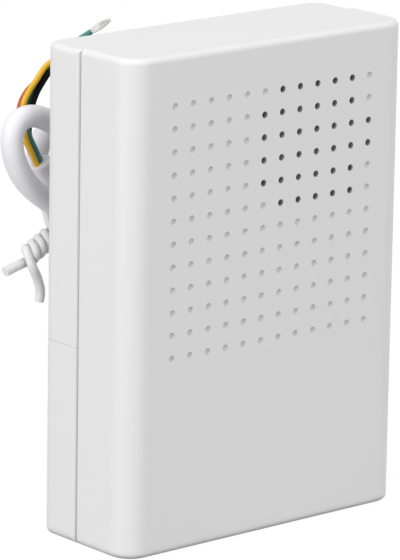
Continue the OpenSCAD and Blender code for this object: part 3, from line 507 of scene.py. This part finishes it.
# twist tie: cut end, twist, ring round the hank, twist and tail
tie = {
    "start": (-31.3, 11.5, 68.5), "end": (-37.8, 11.5, 65), "twistR": 1.6, "turns": 1.75, "phase": 10.0,
    "ringS": 22.0,
    "rise": [(-24.6, 22, 73.3), (-26.2, 19.2, 72.6), (-28.4, 15.6, 71.6), (-30.2, 12.4, 70.8)],
    "ring": [(-14.7, 7.3), (-11.4, 5.7), (-7.5, 6), (-4.9, 10), (-4, 14.1), (-0.6, 18.6), (1.2, 21.2),
             (1, 24.2), (-0.9, 26.3), (-3.4, 26.6), (-5.6, 25.2)],
    "stub": [(-41.2, 12.6, 62.3), (-43.9, 12.6, 61.5)],
    "tail": [(-38.1, 9.6, 62.7), (-36.2, 9.9, 59.2), (-35.1, 10.2, 56), (-35.3, 10.4, 53.4)],
    "twistSteps": 36, "curveSteps": 6,
}


def tieStrand(phase):
    a, b = behind(tie["start"]), behind(tie["end"])
    back = Vector((0, 1, 0))
    up = back.cross((b - a).normalized())
    points = []
    for i in range(tie["twistSteps"] + 1):
        t = i / tie["twistSteps"]
        turn = math.radians(phase + 360 * tie["turns"] * t)
        points.append(a.lerp(b, t) + tie["twistR"] * (math.cos(turn) * back + math.sin(turn) * up))
    return points


def tieRoute():
    steps = tie["curveSteps"]
    out, back = tieStrand(tie["phase"])[::-1], tieStrand(tie["phase"] + 180)
    stub = smoothCurve([behind(p) for p in tie["stub"][::-1]] + [out[0]], steps)
    ring = smoothCurve([out[-1]] + [hankPoint(tie["ringS"], w, case["back"] + d) for w, d in tie["ring"]]
                       + [behind(p) for p in tie["rise"]] + [back[0]], steps)
    tail = smoothCurve([back[-1]] + [behind(p) for p in tie["tail"]], steps)
    return stub + out[1:] + ring[1:] + back[1:] + tail[1:]


tiePiece = addCord("twistTie", [tieRoute()], cable["tieDiameter"], roundness=6, uneven=cable["tieUneven"])
settle(tiePiece, "tie_pvc", "twist_tie")
print("tie wound")

# cut end of the jacket: a short sleeve with a rounded edge, which the cores come out of
cutEnd = {
    "radius": 2.79, "length": 1.5, "past": 0.25, "edge": 0.35, "edgeSteps": 4, "sides": 48,
    "facing": 0.9,  # faces turned this much along the jacket are its end
}


def makeCutEnd():
    bpy.ops.object.select_all(action="DESELECT")
    place = (jacketEnd - jacketDir * (cutEnd["length"] / 2 - cutEnd["past"])) * mm
    bpy.ops.mesh.primitive_cylinder_add(vertices=cutEnd["sides"], radius=cutEnd["radius"] * mm,
                                        depth=cutEnd["length"] * mm, location=place,
                                        rotation=jacketDir.to_track_quat("Z", "Y").to_euler())
    piece = bpy.context.object
    piece.name = piece.data.name = "jacketCutEnd"
    bpy.ops.object.transform_apply(location=True, rotation=True, scale=True)
    bpy.ops.object.mode_set(mode="EDIT")
    bpy.ops.mesh.select_mode(type="FACE")
    bpy.ops.mesh.select_all(action="DESELECT")
    shape = bmesh.from_edit_mesh(piece.data)
    for face in shape.faces:
        face.select_set(face.normal.dot(jacketDir) > cutEnd["facing"])
    bmesh.update_edit_mesh(piece.data)
    bpy.ops.mesh.bevel(offset=cutEnd["edge"] * mm, segments=cutEnd["edgeSteps"])
    bpy.ops.object.mode_set(mode="OBJECT")
    bpy.ops.object.shade_smooth_by_angle(angle=smoothAngle)
    return piece


cutEndPiece = makeCutEnd()
settle(cutEndPiece, "jacket_pvc")
print("jacket end cut")

# wires inside the case, to their solder joints on the board
inside = {
    "padX": -17.01, "padY": -5.3, "corePads": (79.2, 75.8, 72.4, 69.0), "speakerPads": (96.7, 93.3),
    "lugX": -7.41, "lugY": -9.7, "lugZ": (96.6, 92.2),
    "coreLeave": (10, 5, 5, 10), "leadLeave": 6, "padLeave": 8, "straight": 0.12, "steps": 24,
    "corner": ((1, 1), (-1, 1), (-1, -1), (1, -1)),
}


def wireRoute(a, leave, b, arrive):
    a, leave, b, arrive = (Vector(v) for v in (a, leave, b, arrive))
    p, q = a + inside["straight"] * leave, b + inside["straight"] * arrive
    points = [a]
    for i in range(inside["steps"] + 1):
        t = i / inside["steps"]
        u = 1 - t
        points.append(u ** 3 * p + 3 * u * u * t * (a + leave) + 3 * u * t * t * (b + arrive) + t ** 3 * q)
    return points + [b]


for k, colour in enumerate(cores["names"]):
    x, z = inside["corner"][k]
    start = (case["outlet"][0] + cores["place"] * x, case["innerEnd"], case["outlet"][1] + cores["place"] * z)
    route = wireRoute(start, (0, -inside["coreLeave"][k], 0),
                      (inside["padX"], inside["padY"], inside["corePads"][k]), (0, inside["padLeave"], 0))
    settle(addCord("innerCore" + colour.capitalize(), [route], cable["coreDiameter"]),
           f"core_{colour}_pvc", f"inner_core_{colour}")
for k, colour in enumerate(("red", "black")):
    route = wireRoute((inside["lugX"], inside["lugY"], inside["lugZ"][k]), (0, inside["leadLeave"], 0),
                      (inside["padX"], inside["padY"], inside["speakerPads"][k]), (0, inside["padLeave"], 0))
    settle(addCord("speakerLead" + colour.capitalize(), [route], cable["leadDiameter"]),
           f"core_{colour}_pvc", f"speaker_lead_{colour}")
print("inner wires laid")

# speaker surround in two pieces: the flange and roll stay with the frame, the lip goes with the cone
surround = {"lip": 1.0 * mm, "lipOver": 0.05 * mm, "rollClear": 0.1 * mm, "steps": 96, "rollSteps": 24}


def surroundSizes():
    low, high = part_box("speaker_surround")
    coneLow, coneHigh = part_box("speaker_cone")
    sizes = {"x": (low[0] + high[0]) / 2, "z": (low[2] + high[2]) / 2, "outer": (high[0] - low[0]) / 2,
             "cone": (coneHigh[0] - coneLow[0]) / 2, "thick": coneLow[1] - low[1]}
    sizes["y"] = low[1] + sizes["thick"] / 2  # middle of the sheet
    sizes["centre"] = (sizes["x"], sizes["y"], sizes["z"])
    sizes["rollR"] = high[1] - low[1]
    sizes["rollAt"] = sizes["cone"] + sizes["rollR"] + surround["rollClear"]
    return sizes


# draws the selected edges to a new radius round the speaker's axis
def drawRing(sizes, fromRadius, toRadius):
    bpy.ops.mesh.extrude_region_move()
    bpy.ops.transform.resize(value=(toRadius / fromRadius, 1.0, toRadius / fromRadius),
                             center_override=sizes["centre"])
    bpy.ops.object.mode_set(mode="OBJECT")


def thicken(piece, name, sizes):
    piece.name = piece.data.name = name
    wall = piece.modifiers.new("wall", "SOLIDIFY")
    wall.thickness, wall.offset = sizes["thick"], 0.0
    bpy.ops.object.modifier_apply(modifier="wall")
    bpy.ops.object.shade_smooth_by_angle(angle=smoothAngle)
    return piece


def makeSurroundRoll(sizes):
    bpy.ops.object.select_all(action="DESELECT")
    rollR = sizes["rollR"] - sizes["thick"] / 2
    bpy.ops.mesh.primitive_torus_add(major_segments=surround["steps"], minor_segments=surround["rollSteps"],
                                     major_radius=sizes["rollAt"], minor_radius=rollR,
                                     location=sizes["centre"], rotation=(math.radians(90), 0, 0))
    piece = bpy.context.object
    bpy.ops.object.transform_apply(location=True, rotation=True, scale=True)
    bpy.ops.object.mode_set(mode="EDIT")
    bpy.ops.mesh.select_all(action="SELECT")
    bpy.ops.mesh.bisect(plane_co=sizes["centre"], plane_no=(0, 1, 0), clear_inner=True)
    bpy.ops.mesh.select_all(action="DESELECT")
    bpy.ops.mesh.select_mode(type="EDGE")
    shape = bmesh.from_edit_mesh(piece.data)
    for edge in shape.edges:
        middle = (edge.verts[0].co + edge.verts[1].co) / 2
        far = math.hypot(middle.x - sizes["x"], middle.z - sizes["z"]) > sizes["rollAt"]
        edge.select_set(edge.is_boundary and far)
    bmesh.update_edit_mesh(piece.data)
    drawRing(sizes, sizes["rollAt"] + rollR, sizes["outer"])
    return thicken(piece, "surroundRoll", sizes)


def makeSurroundLip(sizes):
    bpy.ops.object.select_all(action="DESELECT")
    outer = sizes["cone"] + surround["lipOver"]
    bpy.ops.mesh.primitive_circle_add(vertices=surround["steps"], radius=outer, location=sizes["centre"],
                                      rotation=(math.radians(90), 0, 0))
    piece = bpy.context.object
    bpy.ops.object.transform_apply(location=True, rotation=True, scale=True)
    bpy.ops.object.mode_set(mode="EDIT")
    bpy.ops.mesh.select_all(action="SELECT")
    drawRing(sizes, outer, sizes["cone"] - surround["lip"])
    return thicken(piece, "surroundLip", sizes)


surroundSet = surroundSizes()
settle(makeSurroundRoll(surroundSet), "surround_rubber", "speaker_surround")
settle(makeSurroundLip(surroundSet), "surround_rubber", body="cone")
print("surround made")

# pale floor, soft light
studio = {
    "floorSize": 8.0, "floorDrop": 0.0002, "floorColour": (0.42, 0.42, 0.42), "floorRoughness": 0.9,
    "floorSpecular": 0.1, "floorGlow": 0.93, "floorWhite": 1.05,
    "ambientFront": 1.09, "ambientBack": 0.12, "aim": (0, 0, 0.06),
    "key": {"place": (-0.35, -0.2, 1.35), "size": 1.1, "power": 5.9},
    "fill": {"place": (-1.3, 0.0, 0.35), "size": 0.7, "power": 6.0},
}


# 1 for what the camera sees, straight or in a mirror or glass, and 0 for the light that falls on the pieces
def cameraRays(tree):
    path = tree.nodes.new("ShaderNodeLightPath")
    total = path.outputs["Is Camera Ray"]
    for name in ("Is Glossy Ray", "Is Transmission Ray"):
        total = addMath(tree, "MAXIMUM", total, path.outputs[name])
    return total


def makeFloor():
    bpy.ops.object.select_all(action="DESELECT")
    bpy.ops.mesh.primitive_plane_add(size=studio["floorSize"], location=(0, 0, -studio["floorDrop"]))
    floor = bpy.context.object
    floor.name = floor.data.name = "studioFloor"
    material, tree, shader = newMaterial("studioFloor")
    setInputs(shader, {"Base Color": (*studio["floorColour"], 1.0), "Roughness": studio["floorRoughness"],
                       "Specular IOR Level": studio["floorSpecular"]})
    glow = addNode(tree, "ShaderNodeEmission", Color=(1.0, 1.0, 1.0, 1.0), Strength=studio["floorWhite"])
    mixed = tree.nodes.new("ShaderNodeMixShader")
    link(tree, addMath(tree, "MULTIPLY", cameraRays(tree), studio["floorGlow"]), mixed.inputs[0])
    link(tree, shader.outputs[0], mixed.inputs[1])
    link(tree, glow.outputs[0], mixed.inputs[2])
    link(tree, mixed.outputs[0], tree.nodes["Material Output"].inputs["Surface"])
    floor.data.materials.append(material)


# white to the camera, and a light that fades from the front of the room to its back
def makeWorld():
    world = bpy.data.worlds.new("studioWorld")
    scene.world = world
    world.use_nodes = True
    tree = world.node_tree
    room = tree.nodes["Background"]
    setInputs(room, {"Color": (1.0, 1.0, 1.0, 1.0)})
    place = tree.nodes.new("ShaderNodeTexCoord")
    split = tree.nodes.new("ShaderNodeSeparateXYZ")
    link(tree, place.outputs["Generated"], split.inputs[0])
    around = addNode(tree, "ShaderNodeMapRange", From_Min=-1.0, From_Max=1.0,
                     To_Min=studio["ambientFront"], To_Max=studio["ambientBack"])
    link(tree, split.outputs["Y"], around.inputs["Value"])
    level = addNode(tree, "ShaderNodeMapRange", To_Max=1.0)
    link(tree, cameraRays(tree), level.inputs["Value"])
    link(tree, around.outputs[0], level.inputs["To Min"])
    link(tree, level.outputs[0], room.inputs["Strength"])


def makeLamp(name):
    values = studio[name]
    data = bpy.data.lights.new(name + "Lamp", "AREA")
    data.shape = "SQUARE"
    data.size = values["size"]
    data.energy = values["power"]
    lamp = bpy.data.objects.new(name + "Lamp", data)
    scene.collection.objects.link(lamp)
    lamp.location = values["place"]
    sight = Vector(studio["aim"]) - Vector(values["place"])
    lamp.rotation_euler = sight.to_track_quat("-Z", "Y").to_euler()


makeFloor()
makeWorld()
makeLamp("key")
makeLamp("fill")
print("studio lit")
